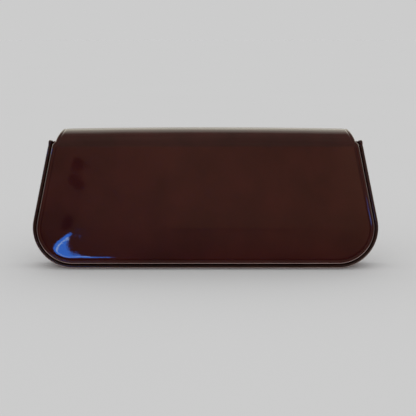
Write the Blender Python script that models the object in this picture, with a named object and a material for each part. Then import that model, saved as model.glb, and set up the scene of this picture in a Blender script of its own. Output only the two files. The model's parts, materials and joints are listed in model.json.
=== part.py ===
"""Long flap wallet in patent leather, modelled closed and standing on its bottom edge.

Frame: metres, +Z up, -Y is the front, which the flap covers, +X is to the right seen from the front.
The origin is under the middle of the wallet, on the surface that it stands on.

The body is a U-shaped gusset between a back wall and a front wall, with a piped rim along each seam.
The back wall's leather runs over the top as a soft fold and becomes the flap. The fold bends at four
lines, so its leather and its lining are made as strips that turn about the lines between them.
Inside are card pockets on the back wall, a coin pocket with a zip, and a slip pocket on the front wall.
"""

import math

import bpy

MM = 0.001

# Outline of the body, seen from the front: a straight bottom, round corners, sides that lean inwards.
WIDTH = 240 * MM
RIM_HEIGHT = 87 * MM
HEIGHT = 97 * MM
CORNER_RADIUS = 28 * MM
SIDE_LEAN = math.radians(12.3)
CORNER_X = WIDTH / 2 - CORNER_RADIUS

# Depth: the back wall stands upright, and the front wall and the flap lean towards it.
BACK_FACE = 13.5 * MM
FRONT_FACE = -7.8 * MM
FRONT_LEAN = math.radians(2.0)

# Sheet thicknesses, and the gap kept between neighbouring sheets.
LEATHER = 1.1 * MM
BOARD = 0.8 * MM
LINING = 0.6 * MM
CARD_LEATHER = 0.6 * MM
GAP = 0.2 * MM

# Distance of each part's edge inside the body's outline.
PIPING_RADIUS = 1.45 * MM
GUSSET_INSET = 1.0 * MM
WALL_INSET = 3.2 * MM
BOARD_INSET = 4.4 * MM
LINING_INSET = 4.0 * MM
DIVIDER_INSET = 4.8 * MM

# Boards and linings end a little below the rim.
BELOW_RIM = 1.5 * MM

# Flap: its edge stands inside the piped rim, and its lower edge is raised a little more.
FLAP_INSET = 3.9 * MM
FLAP_RAISE = 0.6 * MM
FLAP_CLEARANCE = 2.9 * MM
FLAP_THICKNESS = LEATHER + BOARD + LINING + 2 * GAP

# Fold over the top: a round arch, tangent to the back wall's face and to the flap's face.
FOLD_LINES = 4
FOLD_NECK = 5 * MM
FOLD_STEPS = 4
BOARD_BELOW_FOLD = 7 * MM
FLAP_FACE_AT_FLOOR = FRONT_FACE - (FLAP_CLEARANCE + FLAP_THICKNESS) / math.cos(FRONT_LEAN)
FOLD_RADIUS = (
    (BACK_FACE - FLAP_FACE_AT_FLOOR) * math.cos(FRONT_LEAN) - HEIGHT * math.sin(FRONT_LEAN)
) / (1 + math.cos(FRONT_LEAN) - math.sin(FRONT_LEAN))
FOLD_Y = BACK_FACE - FOLD_RADIUS
FOLD_Z = HEIGHT - FOLD_RADIUS
FOLD_SWEEP = math.pi - FRONT_LEAN
FOLD_STEP = FOLD_SWEEP / FOLD_LINES
FOLD_AXIS_DEPTH = (LEATHER + GAP + LINING) / 2
FOLD_AXIS_RADIUS = FOLD_RADIUS - FOLD_AXIS_DEPTH
FOLD_SEAM = GAP / 2 / FOLD_AXIS_RADIUS
FOLD_RELIEF = 1.2 * FOLD_AXIS_DEPTH * math.tan(FOLD_STEP / 2) / FOLD_RADIUS
FOLD_LINING_DEPTH = LEATHER + GAP

# Card pockets: two columns on a divider that closes the note compartment.
NOTE_SPACE = 1.0 * MM
CARD_ROWS = 4
CARD_ROW_STEP = 10 * MM
CARD_TOP_EDGE = 80 * MM
DIVIDER_TOP = 83 * MM
CARD_POCKET_WIDTH = 90 * MM
CARD_POCKET_DEPTH = 44 * MM
CARD_COLUMN_X = 47.5 * MM
SLIP_POCKET_TOP = 58 * MM

# Coin pocket with a zip along its top.
ZIP_Y = 2.6 * MM
ZIP_Z = 76 * MM
COIN_SPACE = 4.5 * MM
COIN_MOUTH = 7.4 * MM
COIN_FLARE = (64 * MM, 71 * MM)
ZIP_HALF_LENGTH = 80 * MM
ZIP_SLIDER_X = -74 * MM
TEETH_INNER = 0.6 * MM
TEETH_OUTER = 1.9 * MM
TEETH_THICKNESS = 1.8 * MM
TAPE_THICKNESS = 0.5 * MM
TAPE_END = 6 * MM
STOP_LENGTH = 2 * MM

# Zip slider and its pull.
SLIDER_LENGTH = 9 * MM
SLIDER_WIDTH = 6.6 * MM
SLIDER_PLATE = 0.9 * MM
SLIDER_THROAT = 2.4 * MM
BAIL_LENGTH = 6.4 * MM
BAIL_WIDTH = 1.2 * MM
BAIL_HEIGHT = 2.4 * MM
BAIL_BAR = 0.8 * MM
PULL_LENGTH = 14 * MM
PULL_WIDTH = 5.2 * MM
PULL_THICKNESS = 0.9 * MM

# Magnetic snap, under the lower part of the flap.
SNAP_HEIGHT = 27 * MM
SNAP_RADIUS = 7.0 * MM
SNAP_HOLE = 2.6 * MM
SNAP_METAL = 0.4 * MM
STUD_FLANGE = 0.5 * MM
STUD_REACH = 1.1 * MM
STEM_RADIUS = 2.0 * MM
STEM_HOLE = STEM_RADIUS + GAP
WASHER_RADIUS = 6.0 * MM
WASHER = 0.5 * MM

ARC_STEPS = 10
ROUND_STEPS = 28

COLOURS = {
    "patent_leather": ((0.085, 0.012, 0.014), 0.08, 0.0),
    "piping_leather": ((0.05, 0.010, 0.012), 0.12, 0.0),
    "lining_leather": ((0.16, 0.035, 0.035), 0.55, 0.0),
    "lining_fabric": ((0.12, 0.03, 0.03), 0.85, 0.0),
    "stiffener_board": ((0.45, 0.36, 0.26), 0.9, 0.0),
    "zip_tape": ((0.06, 0.012, 0.014), 0.9, 0.0),
    "gold_metal": ((0.80, 0.60, 0.30), 0.25, 1.0),
    "magnet": ((0.12, 0.12, 0.13), 0.5, 0.6),
}


def clear_scene():
    for thing in list(bpy.data.objects):
        bpy.data.objects.remove(thing)


def material(name):
    made = bpy.data.materials.get(name)
    if made is None:
        colour, roughness, metallic = COLOURS[name]
        made = bpy.data.materials.new(name)
        made.use_nodes = True
        shader = made.node_tree.nodes["Principled BSDF"]
        shader.inputs["Base Color"].default_value = (*colour, 1.0)
        shader.inputs["Roughness"].default_value = roughness
        shader.inputs["Metallic"].default_value = metallic
    return made


# ---------------------------------------------------------------- shapes


def half_width(height, inset):
    """Half the width at a height of the body's outline, drawn inset inside itself."""
    radius = CORNER_RADIUS - inset
    side_x = CORNER_X + radius * math.cos(SIDE_LEAN)
    side_z = CORNER_RADIUS + radius * math.sin(SIDE_LEAN)
    if height >= side_z:
        return side_x - (height - side_z) * math.tan(SIDE_LEAN)
    return CORNER_X + math.sqrt(max(0.0, radius**2 - (height - CORNER_RADIUS) ** 2))


def corner_heights(inset):
    """Heights that follow the round corner, from the bottom edge to the start of the straight side."""
    radius = CORNER_RADIUS - inset
    start = -math.pi / 2
    turn = SIDE_LEAN - start
    return [CORNER_RADIUS + radius * math.sin(start + turn * i / ARC_STEPS) for i in range(ARC_STEPS + 1)]


def upright(depth):
    """Places a point of the back wall, depth inside its face, at a height."""
    return lambda height: (BACK_FACE - depth, height)


def leaning(depth):
    """Places a point of the front wall, depth inside its face, at a height along it."""
    return lambda height: (
        FRONT_FACE + depth * math.cos(FRONT_LEAN) + height * math.sin(FRONT_LEAN),
        height * math.cos(FRONT_LEAN) - depth * math.sin(FRONT_LEAN),
    )


def on_fold(radius, angle):
    """A point of the arch. The angle runs from the back wall, 0, over the top to the flap."""
    return (FOLD_Y + radius * math.cos(angle), FOLD_Z + radius * math.sin(angle))


def fold_half_width(angle, inset):
    """The fold narrows to a neck on top, between the body's upper corners."""
    return half_width(FOLD_Z, inset) - FOLD_NECK * math.sin(angle) ** 2


def loft(name, loops, finish, ring=False):
    """A closed solid through equal loops of points. A ring joins the last loop to the first."""
    size = len(loops[0])
    points = [point for loop in loops for point in loop]
    faces = []
    spans = len(loops) if ring else len(loops) - 1
    for span in range(spans):
        here = span * size
        there = (span + 1) % len(loops) * size
        for i in range(size):
            j = (i + 1) % size
            faces.append((here + i, here + j, there + j, there + i))
    if not ring:
        faces.append(tuple(reversed(range(size))))
        faces.append(tuple(range(len(points) - size, len(points))))
    mesh = bpy.data.meshes.new(name)
    mesh.from_pydata(points, [], faces)
    made = bpy.data.objects.new(name, mesh)
    bpy.context.scene.collection.objects.link(made)
    mesh.materials.append(material(finish))
    return made


def sheet(name, stations, finish, centre_x=0.0):
    """A sheet through stations of (half width, outer (y, z), inner (y, z)), each a thin rectangle."""
    loops = [
        [
            (centre_x - half, *outer),
            (centre_x + half, *outer),
            (centre_x + half, *inner),
            (centre_x - half, *inner),
        ]
        for half, outer, inner in stations
    ]
    return loft(name, loops, finish)


def wall_stations(place, depth, thickness, inset, top, raised=0.0):
    """Stations of a wall sheet from its bottom edge up, with the body's rounded corners."""
    heights = [*corner_heights(inset), top - raised]
    outer, inner = place(depth), place(depth + thickness)
    return [(half_width(h, inset), outer(h + raised), inner(h + raised)) for h in heights]


def fold_stations(start, end, depth, thickness, inset, relieved_start=False, relieved_end=False):
    """Stations of a strip of the fold, between two angles. At a relieved end the outer corner is cut back,
    down to the level of the fold's axis, so that two strips can swing into line without meeting."""
    outer, inner = FOLD_RADIUS - depth, FOLD_RADIUS - depth - thickness
    first = start + (FOLD_RELIEF if relieved_start else 0.0)
    last = end - (FOLD_RELIEF if relieved_end else 0.0)
    rows = [(first + (last - first) * i / FOLD_STEPS, outer) for i in range(FOLD_STEPS + 1)]
    if relieved_start:
        rows.insert(0, (start, FOLD_AXIS_RADIUS))
    if relieved_end:
        rows.append((end, FOLD_AXIS_RADIUS))
    return [
        (fold_half_width(angle, inset), on_fold(radius, angle), on_fold(inner, angle))
        for angle, radius in rows
    ]


def u_path(inset, top):
    """Points (x, z) along the body's outline, from the left upper corner round the bottom to the right."""
    right = [(half_width(h, inset), h) for h in [*corner_heights(inset), top]]
    return [(-x, z) for x, z in reversed(right)] + right


def u_band(name, inset, thickness, front_depth, back_depth, top, finish):
    """A band round the sides and the bottom, between the leaning front wall and the upright back wall."""
    loops = []
    for (outer_x, outer_z), (inner_x, inner_z) in zip(u_path(inset, top), u_path(inset + thickness, top)):
        back_y = upright(back_depth)(0)[0]
        loops.append(
            [
                (outer_x, leaning(front_depth)(outer_z)[0], outer_z),
                (outer_x, back_y, outer_z),
                (inner_x, back_y, inner_z),
                (inner_x, leaning(front_depth)(inner_z)[0], inner_z),
            ]
        )
    return loft(name, loops, finish)


def piping(name, place):
    """A round cord along the outline, its centre in the plane that place gives."""
    curve = bpy.data.curves.new(name, "CURVE")
    curve.dimensions = "3D"
    curve.bevel_depth = PIPING_RADIUS
    curve.bevel_resolution = 2
    curve.use_fill_caps = True
    path = u_path(PIPING_RADIUS, RIM_HEIGHT - PIPING_RADIUS / 2)
    spline = curve.splines.new("POLY")
    spline.points.add(len(path) - 1)
    for point, (x, z) in zip(spline.points, path):
        y, raised_z = place(z)
        point.co = (x, y, raised_z, 1.0)
    made = bpy.data.objects.new(name, curve)
    bpy.context.scene.collection.objects.link(made)
    curve.materials.append(material("piping_leather"))
    return made


def box(name, x_range, y_range, z_range, finish):
    front, back = y_range
    low, high = z_range
    loops = [[(x, front, low), (x, back, low), (x, back, high), (x, front, high)] for x in x_range]
    return loft(name, loops, finish)


def turned(name, profile, finish, ring=False):
    """A round piece on its own Y axis, from a profile of (radius, y). A ring's profile closes on itself."""
    turns = [2 * math.pi * i / ROUND_STEPS for i in range(ROUND_STEPS)]
    loops = [[(r * math.cos(t), y, r * math.sin(t)) for t in turns] for r, y in profile]
    return loft(name, loops, finish, ring)


def place_on_front(thing, height):
    """Sets a turned piece's own frame on the front wall's face, at a height, turned with its lean."""
    y, z = leaning(0.0)(height)
    thing.location = (0.0, y, z)
    thing.rotation_euler = (-FRONT_LEAN, 0.0, 0.0)


def helper(thing):
    """Marks an object that only shapes another one."""
    thing.hide_render = True
    thing.display_type = "WIRE"
    return thing


def shape_with(thing, other, operation):
    modifier = thing.modifiers.new(operation.lower(), "BOOLEAN")
    modifier.operation = operation
    modifier.object = helper(other)


def face_outwards(thing):
    """Turns the faces of a lofted mesh to point out of the solid."""
    mesh = thing.data
    mesh.calc_loop_triangles()
    volume = sum(
        mesh.vertices[t.vertices[0]].co.dot(
            mesh.vertices[t.vertices[1]].co.cross(mesh.vertices[t.vertices[2]].co)
        )
        for t in mesh.loop_triangles
    )
    if volume < 0:
        mesh.flip_normals()


# ---------------------------------------------------------------- joints


def joint_empty(name, y, z, parent=None, x=0.0):
    """An empty on a joint's axis. The pieces that the joint moves are its children."""
    made = bpy.data.objects.new(name, None)
    made.empty_display_size = 10 * MM
    bpy.context.scene.collection.objects.link(made)
    made.location = (x, y, z)
    bpy.context.view_layer.update()
    if parent is not None:
        hang(parent, made)
    return made


def hang(empty, *things):
    """Parents things to a joint's empty and leaves them in place."""
    bpy.context.view_layer.update()
    for thing in things:
        thing.parent = empty
        thing.matrix_parent_inverse = empty.matrix_world.inverted()


# ---------------------------------------------------------------- back wall, fold and flap


def make_back_wall():
    """Outer leather, stiffener and lining. The leather and the lining reach up to the first fold line.
    Returns the depth of the lining's inner face."""
    end = FOLD_STEP / 2 - FOLD_SEAM
    leather = wall_stations(upright, 0.0, LEATHER, WALL_INSET, FOLD_Z)
    leather += fold_stations(0.0, end, 0.0, LEATHER, WALL_INSET, relieved_end=True)[1:]
    sheet("back_leather", leather, "patent_leather")

    board_depth = LEATHER + GAP
    board_top = FOLD_Z - BOARD_BELOW_FOLD
    board = wall_stations(upright, board_depth, BOARD, BOARD_INSET, board_top)
    sheet("back_board", board, "stiffener_board")

    lining_depth = board_depth + BOARD + GAP
    lining = wall_stations(upright, lining_depth, LINING, LINING_INSET, board_top + GAP)
    lining += fold_stations(0.0, end, FOLD_LINING_DEPTH, LINING, LINING_INSET)
    sheet("back_lining", lining, "lining_leather")
    return lining_depth + LINING


def make_fold(parents):
    """The strips between the fold lines, each on the empty of the line before it."""
    for number, parent in enumerate(parents, start=1):
        start = FOLD_STEP * (number - 0.5) + FOLD_SEAM
        end = FOLD_STEP * (number + 0.5) - FOLD_SEAM
        leather = fold_stations(start, end, 0.0, LEATHER, WALL_INSET, True, True)
        lining = fold_stations(start, end, FOLD_LINING_DEPTH, LINING, LINING_INSET)
        hang(
            parent,
            sheet(f"fold_leather_{number}", leather, "patent_leather"),
            sheet(f"fold_lining_{number}", lining, "lining_leather"),
        )


def make_flap(parent):
    """Flap leather, stiffener and lining, from the last fold line down to the rounded lower edge.
    Returns the stiffener and the lining, which the snap goes through."""
    start = FOLD_SWEEP - FOLD_STEP / 2 + FOLD_SEAM
    face = -(FLAP_CLEARANCE + FLAP_THICKNESS)
    top = FOLD_Z / math.cos(FRONT_LEAN) + face * math.tan(FRONT_LEAN)

    leather = fold_stations(start, FOLD_SWEEP, 0.0, LEATHER, WALL_INSET, relieved_start=True)[:-1]
    leather += reversed(wall_stations(leaning, face, LEATHER, FLAP_INSET, top, FLAP_RAISE))
    flap_leather = sheet("flap_leather", leather, "patent_leather")

    board_depth = face + LEATHER + GAP
    board_inset = FLAP_INSET + BOARD_INSET - WALL_INSET
    board_top = top - BOARD_BELOW_FOLD
    flap_board = sheet(
        "flap_board",
        wall_stations(leaning, board_depth, BOARD, board_inset, board_top, FLAP_RAISE),
        "stiffener_board",
    )

    lining_depth = board_depth + BOARD + GAP
    lining_inset = FLAP_INSET + LINING_INSET - WALL_INSET
    lining = fold_stations(start, FOLD_SWEEP, FOLD_LINING_DEPTH, LINING, LINING_INSET)
    lining_top = board_top + GAP
    lining += reversed(wall_stations(leaning, lining_depth, LINING, lining_inset, lining_top, FLAP_RAISE))
    flap_lining = sheet("flap_lining", lining, "lining_leather")
    hang(parent, flap_leather, flap_board, flap_lining)
    return flap_board, flap_lining


# ---------------------------------------------------------------- front wall, gusset and rims


def make_front_wall(parent):
    """Front leather, stiffener, lining and a slip pocket, all leaning towards the back wall."""
    leather = sheet(
        "front_leather", wall_stations(leaning, 0.0, LEATHER, WALL_INSET, RIM_HEIGHT), "patent_leather"
    )
    board_depth = LEATHER + GAP
    board = sheet(
        "front_board",
        wall_stations(leaning, board_depth, BOARD, BOARD_INSET, RIM_HEIGHT - BELOW_RIM),
        "stiffener_board",
    )
    lining_depth = board_depth + BOARD + GAP
    lining = sheet(
        "front_lining",
        wall_stations(leaning, lining_depth, LINING, LINING_INSET, RIM_HEIGHT),
        "lining_leather",
    )
    pocket_depth = lining_depth + LINING + GAP
    pocket = sheet(
        "front_slip_pocket",
        wall_stations(leaning, pocket_depth, CARD_LEATHER, DIVIDER_INSET, SLIP_POCKET_TOP),
        "lining_leather",
    )
    rim = piping("front_piping", leaning(PIPING_RADIUS))
    hang(parent, leather, board, lining, pocket, rim)
    return leather, board


def make_gusset():
    """The band round the sides and the bottom, with its lining, and the rim of the back seam."""
    edge = 2 * PIPING_RADIUS + GAP
    u_band("gusset", GUSSET_INSET, LEATHER, edge, edge, RIM_HEIGHT - BELOW_RIM / 2, "patent_leather")
    edge = LEATHER + BOARD + LINING + 3 * GAP
    inset = GUSSET_INSET + LEATHER + GAP
    u_band("gusset_lining", inset, LINING, edge, edge, RIM_HEIGHT - BELOW_RIM, "lining_fabric")
    piping("back_piping", upright(PIPING_RADIUS + GAP))


# ---------------------------------------------------------------- pockets


def make_card_pockets(depth):
    """A divider that closes the note compartment, and two columns of card pockets in steps on it."""
    divider_depth = depth + NOTE_SPACE
    sheet(
        "card_divider",
        wall_stations(upright, divider_depth, CARD_LEATHER, DIVIDER_INSET, DIVIDER_TOP),
        "lining_leather",
    )
    for side, sign in (("left", -1), ("right", 1)):
        layer = divider_depth + CARD_LEATHER + GAP
        for row in range(CARD_ROWS):
            top = CARD_TOP_EDGE - row * CARD_ROW_STEP
            bottom = top - CARD_POCKET_DEPTH
            outer, inner = upright(layer), upright(layer + CARD_LEATHER)
            stations = [(CARD_POCKET_WIDTH / 2, outer(h), inner(h)) for h in (bottom, top)]
            sheet(f"card_pocket_{side}_{row + 1}", stations, "lining_leather", sign * CARD_COLUMN_X)
            layer += CARD_LEATHER + GAP


def coin_wall(name, side):
    """One wall of the coin pocket. Its upper part stands further out, to make room for the zip."""
    low = DIVIDER_INSET
    mouth_height = ZIP_Z - TAPE_THICKNESS / 2 - GAP
    near, far = ZIP_Y + side * COIN_SPACE / 2, ZIP_Y + side * COIN_MOUTH / 2
    heights = [*corner_heights(low), COIN_FLARE[0], COIN_FLARE[1], mouth_height]
    stations = []
    for height in heights:
        face = far if height >= COIN_FLARE[1] else near
        stations.append((half_width(height, low), (face + side * CARD_LEATHER, height), (face, height)))
    return sheet(name, stations, "lining_leather")


def make_zip(slider_path, pull_hinge):
    """Tapes, rows of teeth and end stops on the pocket, with the slider and its pull."""
    tape_x = (-ZIP_HALF_LENGTH - TAPE_END, ZIP_HALF_LENGTH + TAPE_END)
    tape_z = (ZIP_Z - TAPE_THICKNESS / 2, ZIP_Z + TAPE_THICKNESS / 2)
    teeth_x = (-ZIP_HALF_LENGTH, ZIP_HALF_LENGTH)
    teeth_z = (ZIP_Z - TEETH_THICKNESS / 2, ZIP_Z + TEETH_THICKNESS / 2)
    for name, side in (("front", -1), ("back", 1)):
        tape_y = sorted(ZIP_Y + side * out for out in (TEETH_OUTER + GAP, COIN_MOUTH / 2 + CARD_LEATHER))
        box(f"zip_tape_{name}", tape_x, tape_y, tape_z, "zip_tape")
        teeth_y = sorted(ZIP_Y + side * out for out in (TEETH_INNER, TEETH_OUTER))
        box(f"zip_teeth_{name}", teeth_x, teeth_y, teeth_z, "gold_metal")
    stop_y = (ZIP_Y - TEETH_OUTER, ZIP_Y + TEETH_OUTER)
    for name, side in (("left", -1), ("right", 1)):
        near = ZIP_HALF_LENGTH + GAP
        stop_x = sorted((side * near, side * (near + STOP_LENGTH)))
        box(f"zip_stop_{name}", stop_x, stop_y, teeth_z, "gold_metal")
    hang(slider_path, make_slider())
    hang(pull_hinge, make_pull())


def bail_axis_height():
    """Height of the pull's cross bar, in the middle of the opening under the slider's bail."""
    opening = BAIL_HEIGHT - BAIL_BAR
    return ZIP_Z + SLIDER_THROAT / 2 + SLIDER_PLATE + opening / 2


def make_slider():
    """Two plates joined by a thin bridge that runs between the rows of teeth, with a bail on top."""
    half, throat, bridge = SLIDER_WIDTH / 2, SLIDER_THROAT / 2, 0.3 * MM
    plate = throat + SLIDER_PLATE
    profile = [
        (-half, -plate),
        (half, -plate),
        (half, -throat),
        (bridge, -throat),
        (bridge, throat),
        (half, throat),
        (half, plate),
        (-half, plate),
        (-half, throat),
        (-bridge, throat),
        (-bridge, -throat),
        (-half, -throat),
    ]
    loops = [
        [(x, ZIP_Y + y, ZIP_Z + z) for y, z in profile]
        for x in (ZIP_SLIDER_X - SLIDER_LENGTH / 2, ZIP_SLIDER_X + SLIDER_LENGTH / 2)
    ]
    slider = loft("zip_slider", loops, "gold_metal")
    shape_with(slider, make_bail(ZIP_Z + plate), "UNION")
    return slider


def make_bail(foot):
    """The loop on the slider that holds the pull: an arch along the zip."""
    half, leg = BAIL_LENGTH / 2, 1.0 * MM
    sunk = foot - SLIDER_PLATE / 2
    arch = [
        (-half, sunk),
        (-half, foot + BAIL_HEIGHT - BAIL_BAR),
        (-half + leg, foot + BAIL_HEIGHT),
        (half - leg, foot + BAIL_HEIGHT),
        (half, foot + BAIL_HEIGHT - BAIL_BAR),
        (half, sunk),
        (half - leg, sunk),
        (half - leg, foot + BAIL_HEIGHT - BAIL_BAR),
        (-half + leg, foot + BAIL_HEIGHT - BAIL_BAR),
        (-half + leg, sunk),
    ]
    loops = [
        [(ZIP_SLIDER_X + x, y, z) for x, z in arch]
        for y in (ZIP_Y - BAIL_WIDTH / 2, ZIP_Y + BAIL_WIDTH / 2)
    ]
    bail = loft("bail_shape", loops, "gold_metal")
    face_outwards(bail)
    return bail


def make_pull():
    """A flat tab with a window at one end. The bar that closes the window passes under the bail."""
    bar, end = PULL_THICKNESS / 2, PULL_LENGTH
    neck, tab = 2.1 * MM, PULL_WIDTH / 2
    window_end = BAIL_LENGTH / 2 + 1.2 * MM
    low, high = (bail_axis_height() + side * PULL_THICKNESS / 2 for side in (-1, 1))
    turns = [math.pi * i / ARC_STEPS for i in range(ARC_STEPS + 1)]
    tip = [(end - tab + tab * math.sin(t), -tab * math.cos(t)) for t in turns]
    outline = [(-bar, -neck), (window_end, -neck), *tip, (window_end, neck), (-bar, neck)]
    loops = [[(ZIP_SLIDER_X + x, ZIP_Y + y, z) for x, y in outline] for z in (low, high)]
    pull = loft("zip_pull", loops, "gold_metal")
    face_outwards(pull)
    window = box(
        "pull_window_shape",
        (ZIP_SLIDER_X + bar, ZIP_SLIDER_X + window_end),
        (ZIP_Y - BAIL_WIDTH / 2 - 2 * GAP, ZIP_Y + BAIL_WIDTH / 2 + 2 * GAP),
        (low - 1 * MM, high + 1 * MM),
        "gold_metal",
    )
    shape_with(pull, window, "DIFFERENCE")
    return pull


# ---------------------------------------------------------------- magnetic snap


def make_snap(front_parent, flap_parent, front_leather, front_board, flap_board, flap_lining):
    """Socket half on the front wall and stud half on the flap. Depths are from the front wall's face."""
    lining_face = -FLAP_CLEARANCE
    socket_face = lining_face + 2 * GAP + STUD_FLANGE
    tube_end = -GAP - SNAP_METAL - GAP
    case = turned(
        "snap_socket_case",
        [
            (SNAP_RADIUS, -GAP),
            (SNAP_RADIUS, socket_face),
            (SNAP_HOLE, socket_face),
            (SNAP_HOLE, tube_end),
            (SNAP_HOLE + SNAP_METAL, tube_end),
            (SNAP_HOLE + SNAP_METAL, socket_face + SNAP_METAL),
            (SNAP_RADIUS - SNAP_METAL, socket_face + SNAP_METAL),
            (SNAP_RADIUS - SNAP_METAL, -GAP),
        ],
        "gold_metal",
        ring=True,
    )
    magnet_outer, magnet_inner = SNAP_RADIUS - SNAP_METAL - GAP, SNAP_HOLE + SNAP_METAL + GAP
    magnet_front = socket_face + SNAP_METAL + GAP
    magnet = turned(
        "snap_magnet",
        [
            (magnet_outer, magnet_front),
            (magnet_inner, magnet_front),
            (magnet_inner, tube_end),
            (magnet_outer, tube_end),
        ],
        "magnet",
        ring=True,
    )
    base = turned(
        "snap_socket_base",
        [
            (magnet_outer, -GAP - SNAP_METAL),
            (magnet_outer, -GAP),
            (STEM_RADIUS, -GAP),
            (STEM_RADIUS, LEATHER + GAP + WASHER),
        ],
        "gold_metal",
    )
    socket_washer = make_washer("snap_socket_washer", LEATHER + GAP)

    stud_back = lining_face - LINING - GAP - WASHER
    stud = turned(
        "snap_stud",
        [
            (SNAP_HOLE - 2 * GAP, socket_face + STUD_REACH),
            (SNAP_HOLE - 2 * GAP, socket_face - GAP),
            (SNAP_RADIUS, socket_face - GAP),
            (SNAP_RADIUS, lining_face + GAP),
            (STEM_RADIUS, lining_face + GAP),
            (STEM_RADIUS, stud_back),
        ],
        "gold_metal",
    )
    stud_washer = make_washer("snap_stud_washer", stud_back)
    for piece in (case, magnet, base, socket_washer, stud, stud_washer):
        face_outwards(piece)
        place_on_front(piece, SNAP_HEIGHT)

    washer_room = WASHER_RADIUS + 2 * GAP
    make_hole(front_leather, STEM_HOLE, LEATHER / 2)
    make_hole(front_board, washer_room, LEATHER + GAP + BOARD / 2)
    make_hole(flap_lining, STEM_HOLE, lining_face - LINING / 2)
    make_hole(flap_board, washer_room, lining_face - LINING - GAP - BOARD / 2)
    hang(front_parent, case, magnet, base, socket_washer)
    hang(flap_parent, stud, stud_washer)


def make_washer(name, start):
    """A flat washer on a stem, from a depth inwards."""
    profile = [
        (WASHER_RADIUS, start),
        (WASHER_RADIUS, start + WASHER),
        (STEM_HOLE, start + WASHER),
        (STEM_HOLE, start),
    ]
    return turned(name, profile, "gold_metal", ring=True)


def make_hole(wall, radius, depth):
    """Cuts a round hole for the snap through one sheet, whose middle is at a depth."""
    profile = [(radius, depth - LEATHER), (radius, depth + LEATHER)]
    cutter = turned(f"{wall.name}_hole_shape", profile, "gold_metal")
    face_outwards(cutter)
    place_on_front(cutter, SNAP_HEIGHT)
    shape_with(wall, cutter, "DIFFERENCE")


# ---------------------------------------------------------------- the wallet


def main():
    clear_scene()

    fold_lines = []
    for number in range(FOLD_LINES):
        y, z = on_fold(FOLD_AXIS_RADIUS, FOLD_STEP * (number + 0.5))
        above = fold_lines[-1] if fold_lines else None
        fold_lines.append(joint_empty(f"fold_line_{number + 1}", y, z, above))
    front_hinge = joint_empty("front_wall_hinge", leaning(PIPING_RADIUS)(PIPING_RADIUS)[0], PIPING_RADIUS)
    slider_path = joint_empty("zip_slider_path", ZIP_Y, ZIP_Z, x=ZIP_SLIDER_X)
    pull_hinge = joint_empty("zip_pull_hinge", ZIP_Y, bail_axis_height(), slider_path, x=ZIP_SLIDER_X)

    inner_face = make_back_wall()
    make_fold(fold_lines[:-1])
    flap_board, flap_lining = make_flap(fold_lines[-1])
    front_leather, front_board = make_front_wall(front_hinge)
    make_gusset()
    make_card_pockets(inner_face)
    coin_wall("coin_pocket_front", -1)
    coin_wall("coin_pocket_back", 1)
    make_zip(slider_path, pull_hinge)
    make_snap(front_hinge, fold_lines[-1], front_leather, front_board, flap_board, flap_lining)

    for thing in bpy.data.objects:
        if thing.type == "MESH" and not thing.hide_render:
            face_outwards(thing)


main()
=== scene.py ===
"""Looks of the long flap wallet: patent leather outside, leather pockets, zip and magnetic snap inside.

Every leather or fabric sheet starts as a flat pattern in (x, v). x runs across the wallet. v runs up the
wall and on over the fold, so one pattern holds a wall and its share of the fold. A path then sets the
pattern in space. Round and swept parts are lofted from rings of points.
"""

import json
import math
from dataclasses import dataclass
from functools import reduce

import bmesh
import bpy
import numpy as np
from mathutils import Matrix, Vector


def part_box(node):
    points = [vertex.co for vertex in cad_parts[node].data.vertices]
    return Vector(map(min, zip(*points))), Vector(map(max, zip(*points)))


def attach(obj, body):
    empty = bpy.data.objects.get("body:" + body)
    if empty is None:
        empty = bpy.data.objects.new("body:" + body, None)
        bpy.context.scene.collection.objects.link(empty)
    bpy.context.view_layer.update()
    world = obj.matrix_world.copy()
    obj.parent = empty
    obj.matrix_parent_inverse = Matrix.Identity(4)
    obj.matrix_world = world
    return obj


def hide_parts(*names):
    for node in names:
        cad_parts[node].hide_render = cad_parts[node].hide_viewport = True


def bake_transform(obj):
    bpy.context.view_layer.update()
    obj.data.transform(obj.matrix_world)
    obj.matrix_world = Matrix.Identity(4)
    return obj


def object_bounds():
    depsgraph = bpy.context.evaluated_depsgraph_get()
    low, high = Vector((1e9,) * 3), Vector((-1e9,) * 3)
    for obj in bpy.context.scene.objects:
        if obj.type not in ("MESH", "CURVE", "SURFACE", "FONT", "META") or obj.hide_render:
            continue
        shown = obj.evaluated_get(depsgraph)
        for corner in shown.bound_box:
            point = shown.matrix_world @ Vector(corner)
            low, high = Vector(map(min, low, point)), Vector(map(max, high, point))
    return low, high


MM = 0.001

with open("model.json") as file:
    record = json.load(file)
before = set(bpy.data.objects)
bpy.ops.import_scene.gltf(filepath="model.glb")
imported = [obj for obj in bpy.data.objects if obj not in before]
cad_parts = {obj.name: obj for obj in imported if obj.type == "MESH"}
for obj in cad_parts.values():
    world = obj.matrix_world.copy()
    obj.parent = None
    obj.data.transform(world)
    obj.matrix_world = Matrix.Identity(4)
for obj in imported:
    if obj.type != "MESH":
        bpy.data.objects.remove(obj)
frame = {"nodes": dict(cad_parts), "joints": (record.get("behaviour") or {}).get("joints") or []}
CAD_LOW, CAD_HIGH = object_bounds()

# Outline of the body, as in the CAD: round lower corners and sides that lean inwards.
CORNER_RADIUS = 28 * MM
SIDE_LEAN = math.radians(12.3)
CORNER_X = CAD_HIGH.x - CORNER_RADIUS
FRONT_LEAN = math.radians(2.0)

# The fold bends at four lines. Its skin is one sheet, cut into four pieces between the lines.
JOINTS = {joint["name"]: joint for joint in frame["joints"]}
FOLD_JOINTS = ("fold_bend_1", "fold_bend_2", "fold_bend_3", "flap_fold")
FOLD_HALF = 98.3 * MM
FOLD_NOTCH = 2.0 * MM
FOLD_BOW = 1.4 * MM
FOLD_STEPS = 9

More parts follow.
